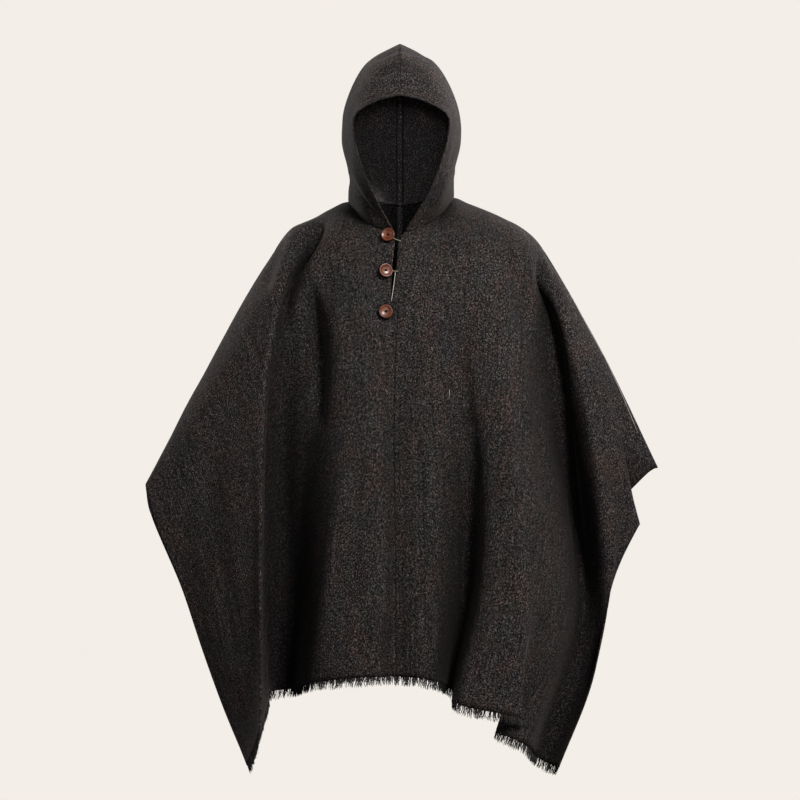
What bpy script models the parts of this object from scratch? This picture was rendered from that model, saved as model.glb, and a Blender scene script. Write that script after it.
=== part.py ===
"""Hooded wool poncho, worn and hollow: four body panels, a two-piece hood, seam strips, fringes and buttons.

Metres, +Z up, front at -Y, +X to the wearer's left. The origin is the middle of the neck, where it is worn.
Every panel is a sheet drawn through ribs, which are its folds' ridges and valleys, and then given a wall.
"""

import math

import bpy
import numpy as np

MM = 0.001
WALL = 2.4  # thickness of the cloth
SEAM_GAP = 0.3  # between pieces that are sewn together
FRINGE_LENGTH = 18.0  # from the cloth's edge to the strands' ends
FRINGE_BAND = 4.0  # height of the strip that holds the strands
STRIP_WIDTH = 14.0  # strip over the hood's and the back's middle seam
STRIP_THICK = 1.6
BUTTON_RADIUS = 12.0
BUTTON_THICK = 4.6
SHANK = 2.6  # a button stands this far off the cloth
LOOP_RADIUS = 0.8
VIEW_DISTANCE = 4500.0  # the tables give x and z as they look from this far in front
VIEW_HEIGHT = -351.0  # height of that eye, below the neck
NECK_GAP = 0.5  # between the hood and the panels, whose seam bends in every direction
RIM_RULE = (1.0, 0.37, 1.3)  # direction that decides how a cell of a rim is split
OVER_DROP = 50.0  # the station just over the shoulder or arm lies this far below the seam

# Colour and roughness of each kind of piece.
WOOL = (0.03, 0.028, 0.028), 0.95
YARN = (0.04, 0.037, 0.036), 0.95
WOOD = (0.23, 0.07, 0.03), 0.3
CORD = (0.5, 0.47, 0.4), 0.8

# Rows of a sheet between its stations: seam to over, over to upper, upper to lower, lower to hem.
BODY_ROWS = (2, 5, 5, 4)
HOOD_ROWS = (3, 3, 2, 2, 3)

# Line where front and back meet: neck side first, then out along the arm to the tip.
TOP_RIGHT = (
    # x, z, y
    (-92, 4, 0),
    (-125, -8, 6),
    (-154, -23, 8),
    (-175, -33, 7),
    (-196, -45, 6),
    (-236, -99, 3),
    (-295, -198, 0),
    (-365, -328, 0),
    (-457, -502, 0),
)
TOP_LEFT = (
    # x, z, y
    (96, 12, 0),
    (122, 2, 5),
    (150, -10, 8),
    (185, -25, 8),
    (215, -40, 6),
    (250, -70, 3),
    (302, -156, -8),
    (369, -276, -10),
    (464, -473, -4),
)

# Ribs of the front, from the middle out. The seam's rib and one beside it start at the neckline.
NECK_FRONT = {
    # name: (x, z, y) where the rib starts
    "middle": (2, -48, -95),
    "right": (-52, -36, -78),
    "left": (56, -30, -78),
}
NECK_BACK = {
    # name: (x, z, y) where the rib starts
    "middle": (0, 0, 88),
    "right": (-55, 8, 66),
    "left": (56, 9, 66),
}
FRONT_MIDDLE = ("centre seam", 108, (-11, -345, -142), (-9, -620, -155), (-8, -867, -160), 0)
FRONT_RIGHT = (
    # name, depth over the shoulder, upper (x, z, y), lower, hem, columns up to this rib
    ("chest ridge", 102, (-48, -345, -152), (-42, -620, -176), (-50, -868, -186), 3),
    ("panel edge", 75, (-108, -320, -132), (-124, -610, -152), (-158, -878, -152), 4),
    ("valley floor", 70, (-160, -318, -86), (-186, -610, -72), (-198, -889, -60), 5),
    ("valley corner", 66, (-198, -318, -76), (-224, -612, -70), (-230, -893, -66), 3),
    ("fold back", 65, (-222, -326, -88), (-237, -630, -112), (-238, -914, -128), 3),
    ("fold edge", 64, (-241, -338, -116), (-249, -650, -170), (-251, -962, -200), 3),
    ("flap inner", 58, (-272, -395, -112), (-262, -690, -158), (-255, -980, -186), 3),
    ("flap middle", 52, (-318, -490, -94), (-288, -760, -138), (-259, -998, -166), 3),
    ("flap outer", 45, (-358, -590, -70), (-312, -815, -114), (-263, -1012, -142), 3),
    ("side edge", 20, (-392, -691, -40), (-331, -869, -82), (-268, -1026, -112), 3),
)
FRONT_LEFT = (
    # name, depth over the shoulder, upper (x, z, y), lower, hem, columns up to this rib
    ("chest ridge", 102, (52, -345, -150), (58, -622, -166), (56, -874, -172), 3),
    ("chest valley", 76, (106, -330, -136), (120, -640, -120), (90, -890, -116), 4),
    ("pleat edge", 74, (138, -330, -146), (146, -655, -164), (104, -918, -194), 4),
    ("pleat ridge", 72, (187, -335, -154), (217, -660, -184), (219, -945, -206), 4),
    ("pleat under", 68, (222, -345, -136), (258, -690, -146), (168, -962, -162), 4),
    ("slope", 64, (252, -370, -96), (295, -705, -92), (222, -990, -124), 4),
    ("deep valley", 58, (286, -408, -40), (326, -725, -30), (240, -1010, -66), 4),
    ("arm front", 52, (350, -463, -88), (348, -770, -40), (256, -1020, -52), 4),
    ("flap", 44, (388, -560, -66), (352, -818, -56), (270, -1026, -62), 3),
    ("side edge", 20, (386, -668, -42), (344, -863, -74), (279, -1030, -84), 3),
)
BACK_MIDDLE = ("centre seam", 104, (0, -310, 130), (0, -590, 138), (0, -856, 146), 0)
BACK_RIGHT = (
    # name, depth over the shoulder, upper (x, z, y), lower, hem, columns up to this rib
    ("back ridge", 96, (-52, -310, 138), (-60, -590, 158), (-66, -860, 176), 3),
    ("inner valley", 72, (-108, -300, 118), (-116, -590, 108), (-122, -864, 96), 4),
    ("inner ridge", 70, (-146, -310, 116), (-164, -590, 150), (-176, -868, 178), 5),
    ("ridge side", 68, (-174, -316, 100), (-194, -590, 122), (-205, -869, 136), 3),
    ("middle valley", 66, (-198, -322, 82), (-218, -590, 72), (-228, -870, 64), 3),
    ("valley side", 64, (-226, -345, 74), (-246, -605, 62), (-258, -872, 60), 3),
    ("rise", 58, (-258, -390, 70), (-274, -630, 78), (-284, -874, 92), 3),
    ("arm ridge", 52, (-304, -460, 66), (-300, -680, 100), (-298, -876, 136), 3),
    ("flap", 45, (-350, -560, 48), (-328, -730, 96), (-307, -878, 168), 3),
    ("side edge", 20, (-398, -640, 28), (-350, -775, 92), (-314, -880, 196), 3),
)
BACK_LEFT = (
    # name, depth over the shoulder, upper (x, z, y), lower, hem, columns up to this rib
    ("back ridge", 96, (52, -310, 136), (58, -590, 150), (62, -860, 164), 3),
    ("inner valley", 74, (106, -300, 120), (112, -590, 112), (114, -866, 104), 4),
    ("inner ridge", 72, (136, -306, 122), (148, -590, 158), (152, -870, 186), 4),
    ("ridge side", 70, (164, -312, 110), (180, -590, 140), (188, -872, 158), 4),
    ("middle valley", 68, (194, -325, 90), (214, -590, 76), (224, -874, 64), 4),
    ("valley side", 64, (228, -345, 76), (250, -605, 60), (262, -875, 54), 4),
    ("rise", 58, (262, -390, 66), (284, -640, 68), (292, -877, 80), 4),
    ("arm ridge", 54, (314, -470, 60), (318, -690, 92), (310, -878, 122), 4),
    ("flap", 46, (360, -560, 45), (346, -740, 84), (322, -879, 156), 3),
    ("side edge", 20, (388, -640, 26), (360, -770, 84), (330, -880, 188), 3),
)

# The slit is the top of the front seam, left unsewn: where each edge stands at each height.
SLIT = (
    # z, x of the right front's edge, x of the left front's edge
    (-20, -12, 16),
    (-48, -12, 14),
    (-66, -8, -1),
    (-110, -13, -6),
    (-150, -15, -11),
    (-182, -16, -15.7),
)
SLIT_REACH = 70.0  # the cloth beside the slit gives way over this width

# On the wearer's left the side edge folds in below the tip and comes out again.
NOTCH = (
    # row of the edge below the tip, shift of the front's edge in x and y, shift of the back's in x
    (0, 0, 0, 0),
    (1, -24, 6, -28),
    (2, -49, 14, -56),
    (3, -24, 2, -32),
    (4, 0, -6, -14),
    (5, 0, -3, -6),
    (6, 0, 0, 0),
)

# Creases pressed into the front, as troughs whose lines run through three places (x, z) as seen.
CREASES = (
    # from, through, to, half width, depth
    ((-140, -36), (-182, -110), (-212, -232), 17, 20),
    ((-160, -170), (-146, -256), (-146, -400), 16, 12),
    ((258, -98), (268, -190), (286, -330), 17, 22),
    ((189, -90), (216, -164), (231, -256), 14, 7),
)

# Hood, as ribs that rise from the neckline to the top seam, for a half whose x is scaled by HOOD_WIDTH.
HOOD_RIBS = (
    # name, then (x, z, y) low, middle, high, brow and at the top seam
    ("face edge", (56, 32, -116), (84, 112, -112), (86, 160, -108), (46, 186, -118), (0, 198, -122)),
    ("temple", (80, 30, -84), (102, 112, -66), (98, 174, -56), (58, 232, -68), (0, 258, -76)),
    ("side", (97, 58, -8), (109, 118, 8), (100, 186, 8), (62, 254, -6), (0, 286, -14)),
    ("back of head", (80, 58, 76), (92, 120, 90), (84, 190, 84), (52, 252, 66), (0, 287, 50)),
    ("back seam", (0, 60, 118), (0, 125, 134), (0, 190, 130), (0, 240, 112), (0, 268, 88)),
)
HOOD_COLUMNS = (3, 4, 4, 3)  # between two ribs, the same as the panels have along the neckline
HOOD_WIDTH = {"right": 0.955, "left": 1.0}  # the wearer's right half lies flatter

BUTTONS = (
    # name, x, z as seen, tilt about the vertical in degrees
    ("button_top", -21, -54, 6),
    ("button_middle", -26, -119, -16),
    ("button_bottom", -26, -193, 4),
)
LOOPS = (
    # name, then the places it runs over: panel, x, z
    ("loop_top", (("right", -15, -57), ("right", -11, -60), ("left", 2, -65))),
    ("loop_middle", (("right", -21, -119), ("right", -16, -119), ("left", -3, -120))),
)


def placed(x, z, y):
    """The point, in millimetres, that looks as far across as x and as high as z when it stands at depth y."""
    near = (VIEW_DISTANCE + y) / VIEW_DISTANCE
    return np.array((x * near, y, VIEW_HEIGHT + (z - VIEW_HEIGHT) * near))


def unit(v):
    return v / np.maximum(np.linalg.norm(v, axis=-1, keepdims=True), 1e-9)


def curve_through(points, at, before=None):
    """Points on a smooth curve through `points`. An `at` of 1.5 is halfway from the second to the third."""
    points = np.asarray(points, float)
    steps = np.maximum(np.linalg.norm(np.diff(points, axis=0), axis=1), 1.0) ** 0.5
    slopes = np.empty_like(points)
    chords = np.diff(points, axis=0) / steps[:, None]
    across = (points[2:] - points[:-2]) / (steps[:-1] + steps[1:])[:, None]
    slopes[1:-1] = chords[:-1] + chords[1:] - across
    slopes[0], slopes[-1] = chords[0], chords[-1]
    if before is not None:
        first = max(np.linalg.norm(points[0] - before), 1.0) ** 0.5
        chord = (points[0] - before) / first
        slopes[0] = chord + chords[0] - (points[1] - before) / (first + steps[0])
    k = np.minimum(np.floor(at).astype(int), len(points) - 2)
    t = (at - k)[:, None]
    h = steps[k][:, None]
    return (
        (2 * t**3 - 3 * t**2 + 1) * points[k]
        + (t**3 - 2 * t**2 + t) * h * slopes[k]
        + (3 * t**2 - 2 * t**3) * points[k + 1]
        + (t**3 - t**2) * h * slopes[k + 1]
    )


def stops(counts):
    """Places along a row of stations, with so many steps between each two."""
    parts = [k + np.arange(n) / n for k, n in enumerate(counts)]
    return np.concatenate(parts + [[float(len(counts))]])


def rib_stations(top, rib, side):
    """A rib's points from the seam to the cloth's edge. `side` is -1 in front and 1 at the back."""
    _, over, upper, lower, hem, _ = rib
    x, z, _ = top
    first = placed(*top)
    out = placed(x + 0.12 * (upper[0] - x), z - OVER_DROP, side * over)
    down = [placed(*upper), placed(*lower), placed(*hem)]
    down[2] = down[2] - unit(down[2] - down[1]) * FRINGE_LENGTH
    return [first, out] + down


def sheet(middle, right, left, neck, side):
    """Rows by columns of points for the whole front or back, and the column of its middle seam."""
    tops = [neck["right"], *TOP_RIGHT], [neck["left"], *TOP_LEFT]
    ribs = [(top, rib) for top, rib in zip(tops[0], right)][::-1]
    ribs += [(neck["middle"], middle)]
    ribs += [(top, rib) for top, rib in zip(tops[1], left)]
    rows = stops(BODY_ROWS)
    lines = []
    for k, (top, rib) in enumerate(ribs):
        points = rib_stations(top, rib, side)
        behind = None
        if k < len(right) - 1 or k > len(right) + 1:
            behind = points[1] * (1, -1, 1)
        lines.append(curve_through(points, rows, behind))
    lines = np.array(lines)
    steps = [rib[5] for rib in right][::-1] + [rib[5] for rib in left]
    columns = stops(steps)
    grid = np.array([curve_through(lines[:, r], columns) for r in range(len(rows))])
    return grid, sum(steps[: len(right)])


def outward(grid, side):
    """Unit directions out of a sheet."""
    down = np.gradient(grid, axis=0)
    across = np.gradient(grid, axis=1)
    return unit(np.cross(down, across)) * -side


def press_creases(grid, out):
    """The front with its creases pressed in."""
    seen = grid / ((VIEW_DISTANCE + grid[..., 1:2]) / VIEW_DISTANCE)
    depth = np.zeros(grid.shape[:2])
    for start, middle, end, width, deep in CREASES:
        t = np.linspace(0, 1, 40)[:, None]
        a, b, c = (np.array(p, float) for p in (start, middle, end))
        line = (1 - t) * (1 - 2 * t) * a + 4 * t * (1 - t) * b + t * (2 * t - 1) * c
        away = np.linalg.norm(seen[:, :, None, (0, 2)] - line, axis=-1)
        near = away.argmin(axis=-1)
        fade = np.sin(math.pi * np.clip(t[near, 0] * 0.9 + 0.05, 0, 1)) ** 0.7
        depth += deep * fade * np.exp(-((away.min(axis=-1) / width) ** 2))
    return grid - out * depth[..., None]


def fold_notch(front, back, finer=1):
    """Both sheets' left side edges moved by NOTCH. `finer` is their rows for each row of the table."""
    rows = np.arange(front.shape[0]) / finer
    columns = np.arange(front.shape[1])[::-1] / finer
    share = np.interp(columns, [0, 1, 2, 3], [1.0, 0.45, 0.12, 0])
    at, front_x, front_y, back_x = np.array(NOTCH, float).T
    front[..., 0] += np.interp(rows, at, front_x)[:, None] * share
    front[..., 1] += np.interp(rows, at, front_y)[:, None] * share
    back[..., 0] += np.interp(rows, at, back_x)[:, None] * share


def slit_edge(grid, seam, right):
    """One half of the front, with its middle edge moved to where the slit's edge stands."""
    part = grid[:, : seam + 1].copy() if right else grid[:, seam:].copy()
    edge = part[:, -1 if right else 0]
    heights = [row[0] for row in SLIT][::-1]
    places = [row[1 if right else 2] for row in SLIT][::-1]
    wanted = np.interp(edge[:, 2], heights, places)
    shift = np.where(edge[:, 2] > SLIT[-1][0], wanted - edge[:, 0], 0)
    away = np.abs(part[..., 0] - edge[:, None, 0])
    part[..., 0] += shift[:, None] * np.clip(1 - away / SLIT_REACH, 0, 1) ** 2
    return part


def drawn_in(grid, edges, top_gap=SEAM_GAP):
    """The sheet with the named edges moved in by half a seam's gap."""
    gap = SEAM_GAP / 2
    grid = grid.copy()
    if "top" in edges:
        grid[0] += unit(grid[1] - grid[0]) * top_gap / 2
    if "first" in edges:
        grid[:, 0] += unit(grid[:, 1] - grid[:, 0]) * gap
    if "last" in edges:
        grid[:, -1] += unit(grid[:, -2] - grid[:, -1]) * gap
    return grid


def own_material(name, colour, rough):
    """A piece's own finish, of one of the kinds at the top."""
    material = bpy.data.materials.new(name)
    material.use_nodes = True
    shader = material.node_tree.nodes["Principled BSDF"]
    shader.inputs["Base Color"].default_value = (*colour, 1)
    shader.inputs["Roughness"].default_value = rough
    return material


def add_object(name, vertices, faces, finish, smooth=True):
    mesh = bpy.data.meshes.new(name)
    points = [tuple(v) for v in np.asarray(vertices) * MM]
    mesh.from_pydata(points, [], [tuple(map(int, f)) for f in faces])
    mesh.materials.append(own_material(name, *finish))
    mesh.polygons.foreach_set("use_smooth", [smooth] * len(mesh.polygons))
    made = bpy.data.objects.new(name, mesh)
    bpy.context.scene.collection.objects.link(made)
    return made


def wall_mesh(grid, out, thick, corner=False):
    """Vertices and faces of a sheet with a wall: its outer side, its inner side and the rim between.

    The rim is split by one rule from its points alone, so that two rims that meet are split alike.
    With `corner`, the last cell is split from the sheet's last corner, where two edges run on as one line.
    """
    rows, columns = grid.shape[:2]
    half = out * thick / 2
    vertices = np.concatenate([(grid + half).reshape(-1, 3), (grid - half).reshape(-1, 3)])
    outer = np.arange(rows * columns).reshape(rows, columns)
    inner = outer + rows * columns
    faces = []
    for r in range(rows - 1):
        for c in range(columns - 1):
            cell = (r, c), (r + 1, c), (r + 1, c + 1), (r, c + 1)
            parts = [cell]
            if corner and (r, c) == (rows - 2, columns - 2):
                parts = [cell[:3], (cell[0], cell[2], cell[3])]
            for part in parts:
                faces.append(tuple(outer[place] for place in part))
                faces.append(tuple(inner[place] for place in part[::-1]))
    rim = [(r, 0) for r in range(rows)] + [(rows - 1, c) for c in range(1, columns)]
    rim += [(r, columns - 1) for r in range(rows - 2, -1, -1)]
    rim += [(0, c) for c in range(columns - 2, 0, -1)]
    for here, following in zip(rim, rim[1:] + rim[:1]):
        if grid[here] @ RIM_RULE < grid[following] @ RIM_RULE:
            faces.append((outer[here], inner[here], inner[following]))
            faces.append((outer[here], inner[following], outer[following]))
        else:
            faces.append((outer[here], inner[here], outer[following]))
            faces.append((inner[here], inner[following], outer[following]))
    first = np.array([vertices[i] for i in faces[0]])
    facing = np.cross(first[1] - first[0], first[2] - first[0])
    if facing @ out[0, 0] < 0:
        faces = [f[::-1] for f in faces]
    return vertices, faces


def add_panel(name, grid, out, finish, corner=False):
    return add_object(name, *wall_mesh(grid, out, WALL, corner), finish)


def add_fringe(name, grid, out, finish):
    """A narrow band under a panel's edge, with a strand hanging from every second cell of it."""
    columns = grid.shape[1]
    at = np.arange(2 * (columns - 1) + 1) / 2
    k = np.minimum(at.astype(int), columns - 2)
    t = (at - k)[:, None]
    edge = grid[-1][k] * (1 - t) + grid[-1][k + 1] * t
    faced = out[-1][k] * (1 - t) + out[-1][k + 1] * t
    fall = unit(grid[-1] - grid[-2])
    fall = fall[k] * (1 - t) + fall[k + 1] * t
    sides = faced * (WALL / 2)
    high = edge + fall * 2 * SEAM_GAP
    low = edge + fall * FRINGE_BAND
    count = len(at)
    vertices = list(np.concatenate([high + sides, low + sides, low - sides, high - sides]))
    a, b, c, d = (np.arange(count) + n * count for n in range(4))
    faces = [(a[0], b[0], c[0], d[0]), (a[-1], d[-1], c[-1], b[-1])]
    for i in range(count - 1):
        faces.append((a[i], a[i + 1], b[i + 1], b[i]))
        faces.append((d[i], c[i], c[i + 1], d[i + 1]))
        faces.append((d[i], d[i + 1], a[i + 1], a[i]))
        if i % 2:
            faces.append((b[i], b[i + 1], c[i + 1], c[i]))
            continue
        lean = 0.6 * math.sin(2.4 * i)
        length = FRINGE_LENGTH * (0.86 + 0.14 * math.sin(1.7 * i + 0.6))
        middle = (edge[i] + edge[i + 1]) / 2 + unit(fall[i] + fall[i + 1]) * length
        along = unit(edge[i + 1] - edge[i])
        across = unit(faced[i] + faced[i + 1])
        middle = middle + across * lean
        n = len(vertices)
        wide = 0.14 * np.linalg.norm(edge[i + 1] - edge[i])
        vertices += [
            middle - along * wide + across * 0.5,
            middle + along * wide + across * 0.5,
            middle + along * wide - across * 0.5,
            middle - along * wide - across * 0.5,
        ]
        faces.append((b[i], b[i + 1], n + 1, n))
        faces.append((b[i + 1], c[i + 1], n + 2, n + 1))
        faces.append((c[i + 1], c[i], n + 3, n + 2))
        faces.append((c[i], b[i], n, n + 3))
        faces.append((n, n + 1, n + 2, n + 3))
    return add_outward(name, vertices, faces, finish)


def add_outward(name, vertices, faces, finish, smooth=True):
    """An object from a closed surface, turned so that its faces point out."""
    points = np.asarray(vertices, float)
    middle = points.mean(axis=0)
    volume = 0.0
    for face in faces:
        corners = points[list(face)] - middle
        for i in range(1, len(corners) - 1):
            volume += corners[0] @ np.cross(corners[i], corners[i + 1])
    if volume < 0:
        faces = [f[::-1] for f in faces]
    return add_object(name, points, faces, finish, smooth)


def add_seam_strip(name, line, right, left, out, finish):
    """A strip inside a middle seam, from the seam's own points and those beside it on the two sheets."""
    edges = []
    for beside in (right, left):
        share = STRIP_WIDTH / 2 / np.linalg.norm(beside - line, axis=1, keepdims=True)
        edges.append(line * (1 - share) + beside * share)
    grid = np.stack([edges[0], line, edges[1]], axis=1)
    out = np.stack([out] * 3, axis=1)
    grid = grid - out * (WALL / 2 + 2 * SEAM_GAP + STRIP_THICK / 2)
    grid[0] = grid[0] * 0.9 + grid[1] * 0.1
    grid[-1] = grid[-1] * 0.9 + grid[-2] * 0.1
    return add_object(name, *wall_mesh(grid, out, STRIP_THICK), finish)


def hood_half(base, side):
    """Grid of one half of the hood on its own part of the neckline, from the face edge to the back seam."""
    sign = -1 if side == "right" else 1
    rows = stops(HOOD_ROWS)
    feet = np.concatenate([[0], np.cumsum(HOOD_COLUMNS)])
    ribs = []
    for foot, rib in zip(base[feet], HOOD_RIBS):
        points = [foot] + [placed(x * sign * HOOD_WIDTH[side], z, y) for x, z, y in rib[1:]]
        ribs.append(curve_through(points, rows))
    ribs.append(ribs[-2] * (-1, 1, 1))
    ribs = np.array(ribs)
    columns = stops(HOOD_COLUMNS)
    grid = np.array([curve_through(ribs[:, r], columns) for r in range(len(rows))])
    grid[0] = base
    return grid


def seam_of_hood(grid):
    """Places of the hood's middle seam, from the neck up the back and over to the brim."""
    rows, columns = grid.shape[:2]
    return [(r, columns - 1) for r in range(rows)] + [(rows - 1, c) for c in range(columns - 2, -1, -1)]


def beside_seam_of_hood(grid):
    rows, columns = grid.shape[:2]
    up = [(r, columns - 2) for r in range(rows - 1)]
    return up + [(rows - 2, columns - 2)] + [(rows - 2, c) for c in range(columns - 2, -1, -1)]


def points_at(grid, places):
    return np.array([grid[place] for place in places])


def hood_outward(grid, side):
    """Unit directions out of half a hood. Along its seam they lie in the middle plane."""
    sign = -1 if side == "right" else 1
    out = unit(np.cross(np.gradient(grid, axis=0), np.gradient(grid, axis=1))) * -sign
    places = seam_of_hood(grid)
    line = points_at(grid, places)
    along = np.gradient(line, axis=0)
    faced = unit(np.stack([along[:, 0] * 0, -along[:, 2], along[:, 1]], axis=1))
    inside = np.array((0, 10, 120))
    wrong = ((line - inside) * faced).sum(axis=1, keepdims=True) < 0
    for place, direction in zip(places, np.where(wrong, -faced, faced)):
        out[place] = direction
    return out


def add_button(name, spot, normal, tilt, finish):
    """A turned button with a dished face and a shank behind, on the cloth at `spot`."""
    r, t, s = BUTTON_RADIUS, BUTTON_THICK, SHANK
    profile = (
        # radius, height over the button's back
        (0, 1.3), (1.3, 1.3), (1.5, 2.1), (5.5, 2.3), (8.6, 3.2), (10.4, t), (11.4, t),
        (r, t - 0.8), (r, 1.6), (10.8, 0.6), (7.5, 0), (2.4, -0.2), (2.2, -s), (0, -s),
    )
    around = 20
    turn = math.radians(tilt)
    axis = unit(normal * math.cos(turn) + unit(np.cross(normal, (0, 0, 1.0))) * math.sin(turn))
    side = unit(np.cross(axis, (0, 0, 1.0)))
    up = np.cross(side, axis)
    lift = SEAM_GAP + s + 2.4 * abs(math.sin(turn)) + max(0, 10.8 * abs(math.sin(turn)) - s)
    centre = spot + normal * lift
    vertices = [centre + axis * profile[0][1]]
    for radius, height in profile[1:-1]:
        for k in range(around):
            angle = 2 * math.pi * k / around
            spoke = side * math.cos(angle) + up * math.sin(angle)
            vertices.append(centre + axis * height + spoke * radius)
    vertices.append(centre + axis * profile[-1][1])
    last = len(vertices) - 1
    faces = []
    for k in range(around):
        following = (k + 1) % around
        faces.append((0, 1 + following, 1 + k))
        for ring in range(len(profile) - 3):
            a = 1 + ring * around
            faces.append((a + k, a + following, a + around + following, a + around + k))
        a = 1 + (len(profile) - 3) * around
        faces.append((a + k, a + following, last))
    return add_outward(name, vertices, faces, finish)


def add_cord(name, points, radius, finish):
    """A thin round cord along a smooth line."""
    line = curve_through(points, stops([4] * (len(points) - 1)))
    along = unit(np.gradient(line, axis=0))
    side = unit(np.cross(along, (0, 0, 1.0)))
    up = np.cross(side, along)
    around = 6
    vertices, faces = [], []
    for p, s, u in zip(line, side, up):
        for k in range(around):
            angle = 2 * math.pi * k / around
            vertices.append(p + (s * math.cos(angle) + u * math.sin(angle)) * radius)
    for i in range(len(line) - 1):
        for k in range(around):
            a, b = i * around + k, i * around + (k + 1) % around
            faces.append((a, b, b + around, a + around))
    faces.append(tuple(range(around))[::-1])
    faces.append(tuple(range(len(vertices) - around, len(vertices))))
    return add_outward(name, vertices, faces, finish)


def surface_at(grid, out, x, z):
    """Point and direction out, where a line from the front at (x, z) first meets a sheet's outer side."""
    face = grid + out * WALL / 2
    found = []
    for r in range(grid.shape[0] - 1):
        for c in range(grid.shape[1] - 1):
            corners = face[r, c], face[r + 1, c], face[r + 1, c + 1], face[r, c + 1]
            for a, b, d in ((0, 1, 2), (0, 2, 3)):
                p, q, s = corners[a], corners[b], corners[d]
                sides = np.array(((q - p)[[0, 2]], (s - p)[[0, 2]])).T
                if abs(np.linalg.det(sides)) < 1e-6:
                    continue
                u, v = np.linalg.solve(sides, (x - p[0], z - p[2]))
                if min(u, v) < 0 or u + v > 1:
                    continue
                normal = unit(np.cross(q - p, s - p))
                found.append((p + u * (q - p) + v * (s - p), normal * -np.sign(normal[1])))
    return min(found, key=lambda hit: hit[0][1])


def build():
    for old in list(bpy.data.objects):
        bpy.data.objects.remove(old)

    front, seam = sheet(FRONT_MIDDLE, FRONT_RIGHT, FRONT_LEFT, NECK_FRONT, -1)
    back, _ = sheet(BACK_MIDDLE, BACK_RIGHT, BACK_LEFT, NECK_BACK, 1)
    front = press_creases(front, outward(front, -1))
    fold_notch(front, back)
    neck = sum(HOOD_COLUMNS[:2])
    arms = np.r_[: seam - neck + 1, seam + neck : front.shape[1]]
    front[0, arms] = back[0, arms] = (front[0, arms] + back[0, arms]) / 2
    out_front, out_back = outward(front, -1), outward(back, 1)
    out_front[0, arms] = out_back[0, arms] = unit(out_front[0, arms] + out_back[0, arms])

    sheets = {}
    hoods = {}
    for side in ("right", "left"):
        right = side == "right"
        cut = slice(0, seam + 1) if right else slice(seam, None)
        chest = slit_edge(front, seam, right)
        faces, backs = out_front[:, cut].copy(), out_back[:, cut].copy()
        spine = back[:, cut]
        around = range(neck + 1)
        if right:
            ahead = [-1 - k for k in around]
        else:
            ahead = list(around)
        behind = ahead[-2::-1]
        base = np.concatenate([chest[0, ahead], spine[0, behind]])
        hood = hood_half(base, side)
        outside = hood_outward(hood, side)
        joined = unit(outside[0] + np.concatenate([faces[0, ahead], backs[0, behind]]))
        joined[-1] = unit(joined[-1] * (0, 1, 1))
        outside[0] = joined
        faces[0, ahead] = joined[: neck + 1]
        backs[0, behind] = joined[neck + 1 :]
        backs[0, ahead[-1]] = joined[neck]
        middle = "last" if right else "first"
        sheets["front_" + side] = drawn_in(chest, ("top", middle)), faces
        sheets["back_" + side] = drawn_in(spine, ("top", middle)), backs
        hood = drawn_in(hood, ("top",), NECK_GAP)
        for place in seam_of_hood(hood):
            hood[place][0] = SEAM_GAP / 2 * (-1 if right else 1)
        hoods[side] = hood, outside

    for name, (grid, out) in sheets.items():
        add_panel("panel_" + name, grid, out, WOOL)
        add_fringe("fringe_" + name, grid, out, YARN)
    for side, (grid, out) in hoods.items():
        add_panel("hood_" + side, grid, out, WOOL, corner=True)

    (hood_r, out_hood), (hood_l, _) = hoods["right"], hoods["left"]
    places, beside = seam_of_hood(hood_r), beside_seam_of_hood(hood_r)
    line = (points_at(hood_r, places) + points_at(hood_l, places)) / 2
    edges = points_at(hood_r, beside), points_at(hood_l, beside)
    add_seam_strip("strip_hood", line, *edges, points_at(out_hood, places), WOOL)
    (back_r, out_r), (back_l, _) = sheets["back_right"], sheets["back_left"]
    line = (back_r[:, -1] + back_l[:, 0]) / 2
    add_seam_strip("strip_back", line, back_r[:, -2], back_l[:, 1], out_r[:, -1], WOOL)

    right_front, left_front = sheets["front_right"], sheets["front_left"]
    for name, x, z, tilt in BUTTONS:
        spot = placed(x, z, -110)
        add_button(name, *surface_at(*right_front, spot[0], spot[2]), tilt, WOOD)
    for name, ends in LOOPS:
        points = []
        for panel, x, z in ends:
            spot = placed(x, z, -110)
            cloth = right_front if panel == "right" else left_front
            point, out = surface_at(*cloth, spot[0], spot[2])
            points.append(point + out * (LOOP_RADIUS + 0.5))
        add_cord(name, points, LOOP_RADIUS, CORD)


build()
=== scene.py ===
"""Looks of the hooded wool poncho: cloth shells on the solids' forms, weave, fringes, stitches and fittings.

The tables and the drawing of the sheets are the part's own, with finer rows and columns and more creases.
Lengths are millimetres, but for those of the studio and the materials, which are metres.
"""

import math

import bpy
import numpy as np
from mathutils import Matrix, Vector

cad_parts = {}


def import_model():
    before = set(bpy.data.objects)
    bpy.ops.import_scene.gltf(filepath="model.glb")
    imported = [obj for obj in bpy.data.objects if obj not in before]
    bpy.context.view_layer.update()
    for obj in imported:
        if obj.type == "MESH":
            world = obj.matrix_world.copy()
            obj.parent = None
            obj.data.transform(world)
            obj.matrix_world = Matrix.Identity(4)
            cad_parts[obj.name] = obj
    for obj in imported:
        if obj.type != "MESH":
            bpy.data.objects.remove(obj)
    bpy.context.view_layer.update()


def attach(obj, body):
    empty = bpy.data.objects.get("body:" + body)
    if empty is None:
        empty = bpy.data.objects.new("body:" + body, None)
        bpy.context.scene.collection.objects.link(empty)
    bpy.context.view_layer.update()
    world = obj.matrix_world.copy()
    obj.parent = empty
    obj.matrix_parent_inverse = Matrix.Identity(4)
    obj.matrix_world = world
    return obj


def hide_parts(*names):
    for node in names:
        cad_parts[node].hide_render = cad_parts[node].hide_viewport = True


MM = 0.001
WALL = 2.4  # thickness of the cloth
SEAM_GAP = 0.06  # across the middle seams and at the neck, too little to see through
SHOULDER_GAP = 0.3  # between front and back, along the shoulders and arms
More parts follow.
